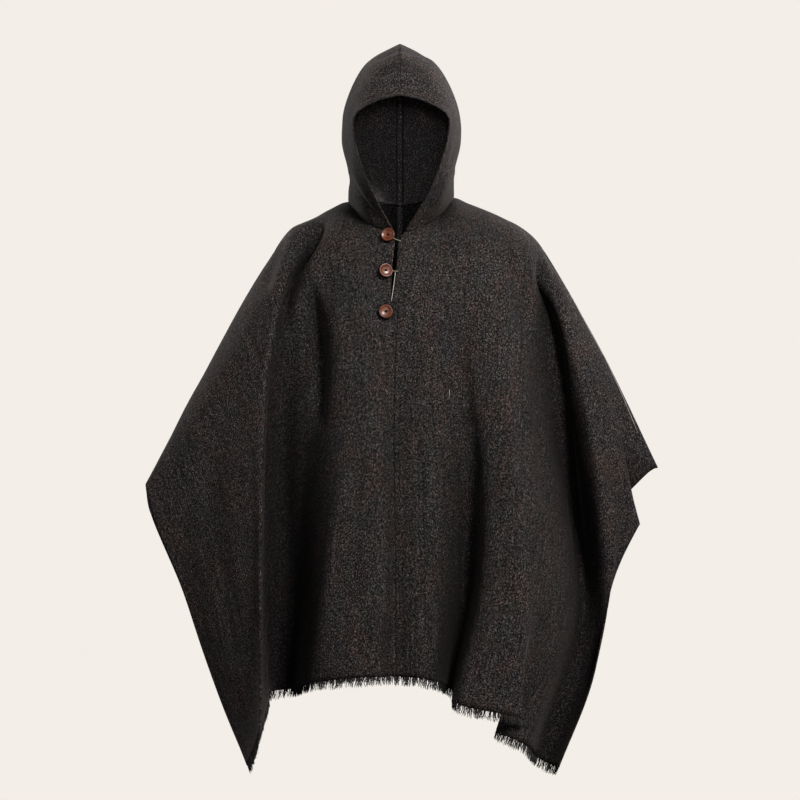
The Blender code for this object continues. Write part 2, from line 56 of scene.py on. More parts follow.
FRINGE_LENGTH = 18.0  # from the cloth's edge to the strands' ends
STRIP_WIDTH = 14.0  # strip over the hood's and the back's middle seam
STRIP_THICK = 1.6
SHANK = 2.6  # a button stands this far off the cloth
LOOP_RADIUS = 0.8
VIEW_DISTANCE = 4500.0  # the tables give x and z as they look from this far in front
VIEW_HEIGHT = -351.0  # height of that eye, below the neck
VIEW_WIDTH = 1440.0  # what the picture spans from side to side, at the origin's depth
SENSOR = 36.0
OVER_DROP = 50.0  # the station just over the shoulder or arm lies this far below the seam
OVER_SHARE = 0.12  # and this share of the way out to the upper station
FINER = 6  # rows and columns of a shell for each of the solid's
COARSE = 3  # fittings are placed on a front with every third of its rows and columns
YARN_PITCH = 0.0022  # metres of cloth from one yarn to the next
INNER_SHIFT = (0.0007, 0.0013)  # metres by which the inner side's weave is out of step
# painted shade: colours of cloth that has other cloth this near are darkened, as in a fold
PAINTED_SHADE_REACH = 0.16  # cloth that has other cloth within these metres is shaded as a fold
HEM_WIDTH = 20.0  # the side edges are sewn this far in
FITTINGS_DEPTH = -110.0  # depth of the slit, where the buttons and loops are looked up

# Rows of a sheet between its stations: seam to over, over to upper, upper to lower, lower to hem.
BODY_ROWS = (2, 5, 5, 4)
HOOD_ROWS = (3, 3, 2, 2, 3)

# Line where front and back meet: neck side first, then out along the arm to the tip.
TOP_RIGHT = (
    # x, z, y
    (-92, 4, 0),
    (-125, -8, 6),
    (-154, -23, 8),
    (-175, -33, 7),
    (-196, -45, 6),
    (-236, -99, 3),
    (-295, -198, 0),
    (-365, -328, 0),
    (-457, -502, 0),
)
TOP_LEFT = (
    # x, z, y
    (96, 12, 0),
    (122, 2, 5),
    (150, -10, 8),
    (185, -25, 8),
    (215, -40, 6),
    (250, -70, 3),
    (302, -156, -8),
    (369, -276, -10),
    (464, -473, -4),
)

# Ribs of the front, from the middle out. The seam's rib and one beside it start at the neckline.
NECK_FRONT = {
    # name: (x, z, y) where the rib starts
    "middle": (2, -48, -95),
    "right": (-52, -36, -78),
    "left": (56, -30, -78),
}
NECK_BACK = {
    # name: (x, z, y) where the rib starts
    "middle": (0, 0, 88),
    "right": (-55, 8, 66),
    "left": (56, 9, 66),
}
FRONT_MIDDLE = ("centre seam", 108, (-11, -345, -142), (-9, -620, -155), (-8, -867, -160), 0)
FRONT_RIGHT = (
    # name, depth over the shoulder, upper (x, z, y), lower, hem, columns up to this rib
    ("chest ridge", 102, (-48, -345, -152), (-42, -620, -176), (-50, -868, -186), 3),
    ("panel edge", 75, (-108, -320, -132), (-124, -610, -152), (-158, -878, -152), 4),
    ("valley floor", 70, (-160, -318, -86), (-186, -610, -72), (-198, -889, -60), 5),
    ("valley corner", 66, (-198, -318, -76), (-224, -612, -70), (-230, -893, -66), 3),
    ("fold back", 65, (-222, -326, -88), (-237, -630, -112), (-238, -914, -128), 3),
    ("fold edge", 64, (-241, -338, -116), (-249, -650, -170), (-251, -962, -200), 3),
    ("flap inner", 58, (-272, -395, -112), (-262, -690, -158), (-255, -980, -186), 3),
    ("flap middle", 52, (-318, -490, -94), (-288, -760, -138), (-259, -998, -166), 3),
    ("flap outer", 45, (-358, -590, -70), (-312, -815, -114), (-263, -1012, -142), 3),
    ("side edge", 20, (-392, -691, -40), (-331, -869, -82), (-268, -1026, -112), 3),
)
FRONT_LEFT = (
    # name, depth over the shoulder, upper (x, z, y), lower, hem, columns up to this rib
    ("chest ridge", 102, (52, -345, -150), (58, -622, -166), (56, -874, -172), 3),
    ("chest valley", 76, (106, -330, -136), (120, -640, -120), (90, -890, -116), 4),
    ("pleat edge", 74, (138, -330, -146), (146, -655, -164), (104, -918, -194), 4),
    ("pleat ridge", 72, (187, -335, -154), (217, -660, -184), (219, -945, -206), 4),
    ("pleat under", 68, (222, -345, -136), (258, -690, -146), (168, -962, -162), 4),
    ("slope", 64, (252, -370, -96), (295, -705, -92), (222, -990, -124), 4),
    ("deep valley", 58, (286, -408, -40), (326, -725, -30), (240, -1010, -66), 4),
    ("arm front", 52, (350, -463, -88), (348, -770, -40), (256, -1020, -52), 4),
    ("flap", 44, (388, -560, -66), (352, -818, -56), (270, -1026, -62), 3),
    ("side edge", 20, (386, -668, -42), (344, -863, -74), (279, -1030, -84), 3),
)
BACK_MIDDLE = ("centre seam", 104, (0, -310, 130), (0, -590, 138), (0, -856, 146), 0)
BACK_RIGHT = (
    # name, depth over the shoulder, upper (x, z, y), lower, hem, columns up to this rib
    ("back ridge", 96, (-52, -310, 138), (-60, -590, 158), (-66, -860, 176), 3),
    ("inner valley", 72, (-108, -300, 118), (-116, -590, 108), (-122, -864, 96), 4),
    ("inner ridge", 70, (-146, -310, 116), (-164, -590, 150), (-176, -868, 178), 5),
    ("ridge side", 68, (-174, -316, 100), (-194, -590, 122), (-205, -869, 136), 3),
    ("middle valley", 66, (-198, -322, 82), (-218, -590, 72), (-228, -870, 64), 3),
    ("valley side", 64, (-226, -345, 74), (-246, -605, 62), (-258, -872, 60), 3),
    ("rise", 58, (-258, -390, 70), (-274, -630, 78), (-284, -874, 92), 3),
    ("arm ridge", 52, (-304, -460, 66), (-300, -680, 100), (-298, -876, 136), 3),
    ("flap", 45, (-350, -560, 48), (-328, -730, 96), (-307, -878, 168), 3),
    ("side edge", 20, (-398, -640, 28), (-350, -775, 92), (-314, -880, 196), 3),
)
BACK_LEFT = (
    # name, depth over the shoulder, upper (x, z, y), lower, hem, columns up to this rib
    ("back ridge", 96, (52, -310, 136), (58, -590, 150), (62, -860, 164), 3),
    ("inner valley", 74, (106, -300, 120), (112, -590, 112), (114, -866, 104), 4),
    ("inner ridge", 72, (136, -306, 122), (148, -590, 158), (152, -870, 186), 4),
    ("ridge side", 70, (164, -312, 110), (180, -590, 140), (188, -872, 158), 4),
    ("middle valley", 68, (194, -325, 90), (214, -590, 76), (224, -874, 64), 4),
    ("valley side", 64, (228, -345, 76), (250, -605, 60), (262, -875, 54), 4),
    ("rise", 58, (262, -390, 66), (284, -640, 68), (292, -877, 80), 4),
    ("arm ridge", 54, (314, -470, 60), (318, -690, 92), (310, -878, 122), 4),
    ("flap", 46, (360, -560, 45), (346, -740, 84), (322, -879, 156), 3),
    ("side edge", 20, (388, -640, 26), (360, -770, 84), (330, -880, 188), 3),
)

# The slit is the top of the front seam, left unsewn: where each edge stands at each height.
SLIT = (
    # z, x of the right front's edge, x of the left front's edge
    (-20, -12, 16),
    (-48, -12, 14),
    (-66, -8, -1),
    (-110, -13, -6),
    (-150, -15, -11),
    (-182, -16, -15.7),
)
SLIT_REACH = 70.0  # the cloth beside the slit gives way over this width

# On the wearer's left the side edge folds in below the tip and comes out again.
NOTCH = (
    # row of the edge below the tip, shift of the front's edge in x and y, shift of the back's in x
    (0, 0, 0, 0),
    (1, -24, 6, -28),
    (2, -49, 14, -56),
    (3, -24, 2, -32),
    (4, 0, -6, -14),
    (5, 0, -3, -6),
    (6, 0, 0, 0),
)
NOTCH_FADE = (1.0, 0.45, 0.12, 0)  # share of the shift at the edge and one, two and three columns in

# Troughs pressed into the front, whose lines run through three places (x, z) as seen.
CREASES = (
    # from, through, to, half width, depth
    ((-140, -36), (-182, -110), (-212, -232), 17, 20),
    ((-160, -170), (-146, -256), (-146, -400), 16, 12),
    ((258, -98), (268, -190), (286, -330), 17, 22),
    ((189, -90), (216, -164), (231, -256), 14, 7),
)

# More of the front's creases, finer than the solid's. A negative depth makes a ridge.
SOFT_CREASES = (
    # from, through, to, half width, depth
    ((-220, -90), (-234, -125), (-240, -160), 9, 6),
    ((-142, -36), (-180, -110), (-208, -250), 8, 15),
    ((-212, -250), (-214, -420), (-206, -700), 20, 12),
    ((-158, -165), (-150, -256), (-148, -390), 8, 9),
    ((-228, -330), (-236, -620), (-240, -880), 8, 14),
    ((256, -98), (270, -190), (292, -340), 8, 12),
    ((292, -340), (312, -520), (330, -700), 11, 12),
    ((-52, -340), (-40, -596), (-50, -853), 24, -7),
    ((113, -300), (134, -560), (118, -820), 17, 11),
    ((187, -320), (212, -620), (216, -900), 15, -5),
    ((-96, -420), (-118, -620), (-150, -860), 15, -6),
    ((30, -420), (44, -640), (40, -850), 16, 5),
    ((-340, -430), (-330, -620), (-290, -820), 20, 4),
    ((246, -240), (252, -420), (262, -560), 12, 6),
    ((150, -60), (170, -130), (176, -230), 15, 4),
    ((-92, -70), (-100, -170), (-92, -270), 14, 3),
    ((330, -320), (372, -470), (380, -590), 13, 5),
)

# Creases of each half of the hood.
HOOD_CREASES = {
    # from, through, to, half width, depth
    "right": (
        ((-92, 50), (-67, 0), (-38, -28), 5, 8),
        ((-52, 256), (-26, 268), (0, 275), 5, 5),
        ((-100, 150), (-96, 110), (-90, 60), 6, 3),
    ),
    "left": (
        ((97, 60), (80, 42), (58, 24), 4, -3.5),
        ((50, 265), (26, 271), (0, 275), 5, 4),
        ((104, 128), (98, 90), (84, 40), 6, 3),
    ),
}

# Hood, as ribs that rise from the neckline to the top seam, for a half whose x is scaled by HOOD_WIDTH.
HOOD_RIBS = (
    # name, then (x, z, y) low, middle, high, brow and at the top seam
    ("face edge", (56, 32, -116), (84, 112, -112), (86, 160, -108), (46, 186, -118), (0, 198, -122)),
    ("temple", (80, 30, -84), (102, 112, -66), (98, 174, -56), (58, 232, -68), (0, 258, -76)),
    ("side", (97, 58, -8), (109, 118, 8), (100, 186, 8), (62, 254, -6), (0, 286, -14)),
    ("back of head", (80, 58, 76), (92, 120, 90), (84, 190, 84), (52, 252, 66), (0, 287, 50)),
    ("back seam", (0, 60, 118), (0, 125, 134), (0, 190, 130), (0, 240, 112), (0, 268, 88)),
)
HOOD_COLUMNS = (3, 4, 4, 3)  # between two ribs, as many as the panels have there
HOOD_WIDTH = {"right": 0.955, "left": 1.0}  # the wearer's right half lies flatter
HOOD_CENTRE = (0, 10, 120)

BUTTONS = (
    # name, x, z as seen, tilt about the vertical in degrees
    ("button_top", -21, -54, 6),
    ("button_middle", -26, -119, -16),
    ("button_bottom", -26, -193, 4),
)
LOOPS = (
    # name, then the places it runs over: panel, x, z
    ("loop_top", (("right", -15, -57), ("right", -11, -60), ("left", 2, -65))),
    ("loop_middle", (("right", -21, -119), ("right", -16, -119), ("left", -3, -120))),
)

# A button's section, from its middle in front round the rim to its middle at the back.
BUTTON_PROFILE = (
    # radius, height over the button's back
    (0, 0.5),
    (1.1, 0.5),
    (1.3, 1.5),
    (1.6, 2.0),
    (2.0, 2.1),
    (3.2, 2.2),
    (5.6, 2.45),
    (7.6, 2.9),
    (9.0, 3.6),
    (9.9, 4.25),
    (10.5, 4.55),
    (11.1, 4.6),
    (11.6, 4.4),
    (11.9, 3.9),
    (12.0, 3.2),
    (12.0, 2.0),
    (11.7, 1.3),
    (10.8, 0.6),
    (7.5, 0.05),
    (2.5, -0.2),
    (2.2, -0.5),
    (2.2, -SHANK),
    (0, -SHANK),
)
BUTTON_AROUND = 64
SLOT_RINGS = 3  # the first rings of the section are the slot
SLOT_RADII = (1.1, 2.0, 3.2)
SLOT_STRETCH = (1.9, 1.4, 1.0)  # at those radii, how much longer than high the slot is
SHANK_RADIUS = 2.4
BACK_RADIUS = 10.8  # of the button's back, whose edge comes near the cloth when it tilts

STRAND_PITCH = 0.62  # between two yarn ends of the fringe
STRAND_REACH = (0.5, 0.8, 0.93)  # their lengths, as shares of the fringe's
STRAND_SHARE = (0.25, 0.4, 0.35)  # and how many have each
STRAND_TAPER = (1, 1.05, 1.0, 0.9, 0.75, 0.4)  # thickness from root to end
STITCH_LENGTH = 3.6
STITCH_STEP = 6.0  # from one stitch's start to the next one's
STITCH_RADIUS = 0.28
STITCH_ALONG = (0, 0.2, 0.5, 0.8, 1.0)  # places along a stitch
STITCH_RISE = (-0.35, 0.12, 0.22, 0.12, -0.35)  # and how high it stands there
ARM_THREAD = slice(31 * FINER, -6, 2)  # columns of the left front that the thread over the arm covers
ARM_THREAD_ROW = 3
SLIT_THREAD = (-182, -126)  # heights between which a thread lies along the slit's left edge
LOOSE_THREAD = ((86, -333), (85, -350))  # x and z of its two ends

# Colours of the wool's fibres, along the noise that deals them out.
HEATHER = (
    # place, colour
    (0.36, (0.001, 0.001, 0.001)),
    (0.47, (0.0062, 0.006, 0.006)),
    (0.57, (0.026, 0.0255, 0.025)),
    (0.67, (0.09, 0.087, 0.085)),
)
CALM = (0.0125, 0.012, 0.0125)  # their mean, which evens out the hood's inside

BACKDROP = (0.896, 0.855, 0.799, 1)
FLOOR_RADIUS = 2.35
FLOOR_HEIGHT = -1.5
LIGHTS = (
    # name, place, aim, size, power, colour
    ("key", (2.1, -3.2, 2.3), (0, 0, -0.35), 0.8, 1350, (1.0, 0.96, 0.94)),
    ("side", (-3.4, -2.0, 1.2), (0, 0, -0.4), 0.6, 70, (1.0, 0.97, 0.95)),
    ("behind on the left", (2.6, 3.2, 2.2), (0, 0, -0.35), 1.2, 620, (1.0, 0.97, 0.95)),
    ("behind on the right", (-3.0, 2.9, 1.6), (0, 0, -0.35), 1.2, 480, (1.0, 0.98, 0.96)),
    ("front", (0.3, -4.4, 0.1), (0, 0, 0.1), 0.8, 100, (0.96, 0.98, 1.0)),
)


def placed(x, z, y):
    """The point, in millimetres, that looks as far across as x and as high as z when it stands at depth y."""
    near = (VIEW_DISTANCE + y) / VIEW_DISTANCE
    return np.array((x * near, y, VIEW_HEIGHT + (z - VIEW_HEIGHT) * near))


def unit(v):
    return v / np.maximum(np.linalg.norm(v, axis=-1, keepdims=True), 1e-9)


def curve_through(points, at, before=None):
    """Points on a smooth curve through `points`. An `at` of 1.5 is halfway from the second to the third."""
    points = np.asarray(points, float)
    steps = np.maximum(np.linalg.norm(np.diff(points, axis=0), axis=1), 1.0) ** 0.5
    slopes = np.empty_like(points)
    chords = np.diff(points, axis=0) / steps[:, None]
    across = (points[2:] - points[:-2]) / (steps[:-1] + steps[1:])[:, None]
    slopes[1:-1] = chords[:-1] + chords[1:] - across
    slopes[0], slopes[-1] = chords[0], chords[-1]
    if before is not None:
        first = max(np.linalg.norm(points[0] - before), 1.0) ** 0.5
        chord = (points[0] - before) / first
        slopes[0] = chord + chords[0] - (points[1] - before) / (first + steps[0])
    k = np.minimum(np.floor(at).astype(int), len(points) - 2)
    t = (at - k)[:, None]
    h = steps[k][:, None]
    return (
        (2 * t**3 - 3 * t**2 + 1) * points[k]
        + (t**3 - 2 * t**2 + t) * h * slopes[k]
        + (3 * t**2 - 2 * t**3) * points[k + 1]
        + (t**3 - t**2) * h * slopes[k + 1]
    )


def stops(counts):
    """Places along a row of stations, with so many steps between each two."""
    parts = [k + np.arange(n) / n for k, n in enumerate(counts)]
    return np.concatenate(parts + [[float(len(counts))]])


def rib_stations(top, rib, side):
    """A rib's points from the seam to the cloth's edge. `side` is -1 in front and 1 at the back."""
    _, over, upper, lower, hem, _ = rib
    x, z, _ = top
    first = placed(*top)
    out = placed(x + OVER_SHARE * (upper[0] - x), z - OVER_DROP, side * over)
    down = [placed(*upper), placed(*lower), placed(*hem)]
    down[2] = down[2] - unit(down[2] - down[1]) * FRINGE_LENGTH
    return [first, out] + down


def sheet(middle, right, left, neck, side):
    """Rows by columns of points for the whole front or back, and the column of its middle seam."""
    tops = [neck["right"], *TOP_RIGHT], [neck["left"], *TOP_LEFT]
    ribs = [(top, rib) for top, rib in zip(tops[0], right)][::-1]
    ribs += [(neck["middle"], middle)]
    ribs += [(top, rib) for top, rib in zip(tops[1], left)]
    rows = stops(fine(BODY_ROWS))
    lines = []
    for k, (top, rib) in enumerate(ribs):
        points = rib_stations(top, rib, side)
        behind = None
        if k < len(right) - 1 or k > len(right) + 1:
            behind = points[1] * (1, -1, 1)
        lines.append(curve_through(points, rows, behind))
    lines = np.array(lines)
    steps = fine([rib[5] for rib in right][::-1] + [rib[5] for rib in left])
    columns = stops(steps)
    grid = np.array([curve_through(lines[:, r], columns) for r in range(len(rows))])
    return grid, sum(steps[: len(right)])


def outward(grid, side):
    """Unit directions out of a sheet."""
    down = np.gradient(grid, axis=0)
    across = np.gradient(grid, axis=1)
    return unit(np.cross(down, across)) * -side


def press_creases(grid, out, creases=CREASES):
    """A sheet with creases pressed in, each along a smooth line through its three places."""
    seen = grid / ((VIEW_DISTANCE + grid[..., 1:2]) / VIEW_DISTANCE)
    depth = np.zeros(grid.shape[:2])
    for start, middle, end, width, deep in creases:
        t = np.linspace(0, 1, 40)[:, None]
        a, b, c = (np.array(p, float) for p in (start, middle, end))
        line = (1 - t) * (1 - 2 * t) * a + 4 * t * (1 - t) * b + t * (2 * t - 1) * c
        away = np.linalg.norm(seen[:, :, None, (0, 2)] - line, axis=-1)
        near = away.argmin(axis=-1)
        fade = np.sin(math.pi * np.clip(t[near, 0] * 0.9 + 0.05, 0, 1)) ** 0.7
        depth += deep * fade * np.exp(-((away.min(axis=-1) / width) ** 2))
    return grid - out * depth[..., None]


def fold_notch(front, back, finer=1):
    """Both sheets' side edges on the wearer's left moved by NOTCH, with `finer` rows for each of its rows."""
    rows = np.arange(front.shape[0]) / finer
    columns = np.arange(front.shape[1])[::-1] / finer
    share = np.interp(columns, range(len(NOTCH_FADE)), NOTCH_FADE)
    at, front_x, front_y, back_x = np.array(NOTCH, float).T
    front[..., 0] += np.interp(rows, at, front_x)[:, None] * share
    front[..., 1] += np.interp(rows, at, front_y)[:, None] * share
    back[..., 0] += np.interp(rows, at, back_x)[:, None] * share


def slit_edge(grid, seam, right):
    """One half of the front, with its middle edge moved to where the slit's edge stands."""
    part = grid[:, : seam + 1].copy() if right else grid[:, seam:].copy()
    edge = part[:, -1 if right else 0]
    heights = [row[0] for row in SLIT][::-1]
    places = [row[1 if right else 2] for row in SLIT][::-1]
    wanted = np.interp(edge[:, 2], heights, places)
    shift = np.where(edge[:, 2] > SLIT[-1][0], wanted - edge[:, 0], 0)
    away = np.abs(part[..., 0] - edge[:, None, 0])
    part[..., 0] += shift[:, None] * np.clip(1 - away / SLIT_REACH, 0, 1) ** 2
    return part


def drawn_in(grid, edges, top_gap=SHOULDER_GAP):
    """The sheet with the named edges moved in by half a seam's gap."""
    gap = SEAM_GAP / 2
    grid = grid.copy()
    if "top" in edges:
        grid[0] += unit(grid[1] - grid[0]) * top_gap / 2
    if "first" in edges:
        grid[:, 0] += unit(grid[:, 1] - grid[:, 0]) * gap
    if "last" in edges:
        grid[:, -1] += unit(grid[:, -2] - grid[:, -1]) * gap
    return grid


def half_strip(line, beside):
    """The seam's points, moved half a strip's width towards those beside it."""
    share = STRIP_WIDTH / 2 / np.linalg.norm(beside - line, axis=1, keepdims=True)
    return line * (1 - share) + beside * share


def seam_strip(line, right, left, out):
    """Grid and directions of a strip inside a middle seam, from the seam's points and those beside it."""
    grid = np.stack([half_strip(line, right), line, half_strip(line, left)], axis=1)
    out = np.stack([out] * 3, axis=1)
    grid = grid - out * (WALL / 2 + 2 * SEAM_GAP + STRIP_THICK / 2)
    return grid[1:-1], out[1:-1]


def hood_half(base, side):
    """Grid of one half of the hood on its own part of the neckline, from the face edge to the back seam."""
    sign = -1 if side == "right" else 1
    rows = stops(fine(HOOD_ROWS))
    feet = np.concatenate([[0], np.cumsum(fine(HOOD_COLUMNS))])
    ribs = []
    for foot, rib in zip(base[feet], HOOD_RIBS):
        points = [foot] + [placed(x * sign * HOOD_WIDTH[side], z, y) for x, z, y in rib[1:]]
        ribs.append(curve_through(points, rows))
    ribs.append(ribs[-2] * (-1, 1, 1))
    ribs = np.array(ribs)
    columns = stops(fine(HOOD_COLUMNS))
    grid = np.array([curve_through(ribs[:, r], columns) for r in range(len(rows))])
    grid[0] = base
    return grid


def seam_of_hood(grid):
    """Places of the hood's middle seam, from the neck up the back and over to the brim."""
    rows, columns = grid.shape[:2]
    return [(r, columns - 1) for r in range(rows)] + [(rows - 1, c) for c in range(columns - 2, -1, -1)]


def beside_seam_of_hood(grid):
    rows, columns = grid.shape[:2]
    up = [(r, columns - 2) for r in range(rows - 1)]
    return up + [(rows - 2, columns - 2)] + [(rows - 2, c) for c in range(columns - 2, -1, -1)]


def points_at(grid, places):
    return np.array([grid[place] for place in places])


def hood_outward(grid, side):
    """Unit directions out of half a hood. Along its seam they lie in the middle plane."""
    sign = -1 if side == "right" else 1
    out = unit(np.cross(np.gradient(grid, axis=0), np.gradient(grid, axis=1))) * -sign
    places = seam_of_hood(grid)
    line = points_at(grid, places)
    along = np.gradient(line, axis=0)
    faced = unit(np.stack([along[:, 0] * 0, -along[:, 2], along[:, 1]], axis=1))
    wrong = ((line - HOOD_CENTRE) * faced).sum(axis=1, keepdims=True) < 0
    for place, direction in zip(places, np.where(wrong, -faced, faced)):
        out[place] = direction
    return out


def surface_at(grid, out, x, z):
    """Point and direction out, where a line from the front at (x, z) first meets a sheet's outer side."""
    face = grid + out * WALL / 2
    found = []
    for r in range(grid.shape[0] - 1):
        for c in range(grid.shape[1] - 1):
            corners = face[r, c], face[r + 1, c], face[r + 1, c + 1], face[r, c + 1]
            for a, b, d in ((0, 1, 2), (0, 2, 3)):
                p, q, s = corners[a], corners[b], corners[d]
                sides = np.array(((q - p)[[0, 2]], (s - p)[[0, 2]])).T
                if abs(np.linalg.det(sides)) < 1e-6:
                    continue
                u, v = np.linalg.solve(sides, (x - p[0], z - p[2]))
                if min(u, v) < 0 or u + v > 1:
                    continue
                normal = unit(np.cross(q - p, s - p))
                found.append((p + u * (q - p) + v * (s - p), normal * -np.sign(normal[1])))
    return min(found, key=lambda hit: hit[0][1])


def fine(counts):
    return tuple(n * FINER for n in counts)


def waves(grid, out, tall=0.9):
    """Slight unevenness of hanging cloth, a millimetre or so."""
    x, y, z = np.moveaxis(grid, -1, 0)
    height = np.sin(x / 21 + 1.3 * np.sin(z / 63)) + 0.7 * np.sin(x / 13 - z / 90 + 2)
    height += 0.6 * np.sin(z / 37 + x / 55 + y / 25)
    return grid + out * (height * tall / 2)[..., None]


def cloth_metres(grid, hood=False):
    """Across and down the cloth, in metres: the weft runs level and the warp hangs."""
    across, down = np.diff(grid, axis=1), np.diff(grid, axis=0)
    level = np.linalg.norm(across[..., :2], axis=-1)
    fall = np.linalg.norm(down if hood else down[..., 1:], axis=-1)
    u = np.concatenate([grid[:, :1, 0] * 0, np.cumsum(level, axis=1)], axis=1)
    v = np.concatenate([grid[:1, :, 0] * 0, np.cumsum(fall, axis=0)], axis=0)
    v = v + grid[:1, :, 2] if hood else v - grid[:1, :, 2]
    return np.stack([u, v], axis=-1) * MM


def seam_rolled(grid, out, edges, deep=0.8):
    """The sheet with its sewn edges turned in a little, so that a seam shows as a fine groove."""
    grid = grid.copy()
    for edge in edges:
        for step, share in ((0, 1.0), (1, 0.3)):
            place = {
                "top": (step, slice(None)),
                "bottom": (-1 - step, slice(None)),
                "first": (slice(None), step),
                "last": (slice(None), -1 - step),
            }[edge]
            grid[place] -= out[place] * deep * share
    return grid


def shell_mesh(grid, out, thick, hood=False):
    """A closed shell on a sheet: points, quads and the cloth's coordinates at each point."""
    rows, columns = grid.shape[:2]
    half = out * thick / 2
    points = np.concatenate([(grid + half).reshape(-1, 3), (grid - half).reshape(-1, 3)])
    outer = np.arange(rows * columns).reshape(rows, columns)
    inner = outer + rows * columns
    skin = np.stack([outer[:-1, :-1], outer[1:, :-1], outer[1:, 1:], outer[:-1, 1:]], axis=-1).reshape(-1, 4)
    back = np.stack([inner[:-1, :-1], inner[:-1, 1:], inner[1:, 1:], inner[1:, :-1]], axis=-1).reshape(-1, 4)
    ring = np.concatenate([outer[:, 0], outer[-1, 1:], outer[-2::-1, -1], outer[0, -2:0:-1]])
    following = np.roll(ring, -1)
    rim = np.stack([ring, ring + rows * columns, following + rows * columns, following], axis=-1)
    quads = np.concatenate([skin, back, rim])
    a, b, c = points[quads[0, 0]], points[quads[0, 1]], points[quads[0, 2]]
    if np.cross(b - a, c - a) @ out[0, 0] < 0:
        quads = quads[:, ::-1]
    metres = cloth_metres(grid, hood).reshape(-1, 2)
    return points, quads, np.concatenate([metres, metres + INNER_SHIFT])


def add_mesh(name, points, faces, material, metres=None, replaces=()):
    """A smooth piece from points in millimetres, riding on the root and standing for its solids."""
    mesh = bpy.data.meshes.new(name)
    if isinstance(faces, np.ndarray):
        faces = faces.tolist()
    mesh.from_pydata((np.asarray(points) * MM).tolist(), [], faces)
    mesh.materials.append(material)
    mesh.polygons.foreach_set("use_smooth", [True] * len(mesh.polygons))
    if metres is not None:
        layer = mesh.uv_layers.new(name="cloth")
        at = np.empty(len(mesh.loops), np.int32)
        mesh.loops.foreach_get("vertex_index", at)
        layer.data.foreach_set("uv", metres[at].astype(np.float32).ravel())
    made = bpy.data.objects.new(name, mesh)
    bpy.context.scene.collection.objects.link(made)
    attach(made, "root")
    if replaces:
        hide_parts(*replaces)
    return made


def add_shell(name, grid, out, thick, materials, replaces, hood=False):
    """A shell whose outer side and inner side have a material each."""
    points, quads, metres = shell_mesh(grid, out, thick, hood)
    made = add_mesh(name, points, quads, materials[0], metres, replaces)
    made.data.materials.append(materials[1])
    half = (grid.shape[0] - 1) * (grid.shape[1] - 1)
    slots = np.zeros(len(quads), np.int32)
    slots[half : 2 * half] = 1
    made.data.polygons.foreach_set("material_index", slots)
    return made


class Nodes:
    """Short calls for a material's nodes."""

    def __init__(self, name):
        self.material = bpy.data.materials.new(name)
        self.material.use_nodes = True
        self.tree = self.material.node_tree
        self.shader = self.tree.nodes["Principled BSDF"]

    def add(self, kind, inputs=(), **settings):
        node = self.tree.nodes.new(kind)
        for key, value in settings.items():
            setattr(node, key, value)
        for socket, value in dict(inputs).items():
            self.put(node.inputs[socket], value)
        return node

    def put(self, socket, value):
        if isinstance(value, bpy.types.NodeSocket):
            self.tree.links.new(value, socket)
        else:
            socket.default_value = value

    def math(self, operation, a, b=0.0, c=0.0):
        return self.add("ShaderNodeMath", {0: a, 1: b, 2: c}, operation=operation).outputs[0]

    def noise(self, vector, scale, detail=2.0, rough=0.5):
        inputs = {"Vector": vector, "Scale": scale, "Detail": detail, "Roughness": rough}
        return self.add("ShaderNodeTexNoise", inputs).outputs[0]

    def stretched(self, vector, scale):
        return self.add("ShaderNodeMapping", {"Vector": vector, "Scale": scale}).outputs[0]

    def ramp(self, value, *stops):
        node = self.add("ShaderNodeValToRGB", {0: value})
        band = node.color_ramp
        while len(band.elements) < len(stops):
            band.elements.new(0.5)
        for element, (place, colour) in zip(band.elements, stops):
            element.position = place
            element.color = (*colour, 1)
        return node.outputs[0]

    def mix(self, kind, share, a, b):
        node = self.add("ShaderNodeMix", data_type="RGBA", blend_type=kind)
        self.put(node.inputs[0], share)
        self.put(node.inputs[6], a)
        self.put(node.inputs[7], b)
        return node.outputs[2]

    def paint_fold_shade(self, colour, power):
        """Painted shade: the colour darkened by `power` where other surfaces shut it in, by ambient
        occlusion.
        """
        closed = self.add("ShaderNodeAmbientOcclusion", {"Distance": PAINTED_SHADE_REACH}, samples=6).outputs["AO"]
        return self.mix("MULTIPLY", 1.0, colour, self.math("POWER", closed, power))

    def finish(self, **sockets):
        for name, value in sockets.items():
            self.put(self.shader.inputs[name.replace("_", " ")], value)
        return self.material

    def bump(self, height, strength, distance):
        inputs = {"Height": height, "Strength": strength, "Distance": distance}
        return self.add("ShaderNodeBump", inputs).outputs[0]


def grey(value):
    return (value, value, value)


def twill(n, cloth, u, v):
    """Height of the yarns: warp and weft that change over along slanting lines."""
    turn = 2 * math.pi / YARN_PITCH
    bend = n.math("MULTIPLY", n.noise(cloth, 90.0), 0.0012)
    across, down = n.math("ADD", u, bend), n.math("SUBTRACT", v, bend)
    warp = n.math("SINE", n.math("MULTIPLY", across, turn))
    weft = n.math("SINE", n.math("MULTIPLY", down, turn))
    slant = n.math("SINE", n.math("MULTIPLY", n.math("ADD", across, down), turn / 4))
    over = n.math("MULTIPLY_ADD", slant, 0.5, 0.5)
    under = n.math("SUBTRACT", 1.0, over)
    return n.math("ADD", n.math("MULTIPLY", warp, over), n.math("MULTIPLY", weft, under))


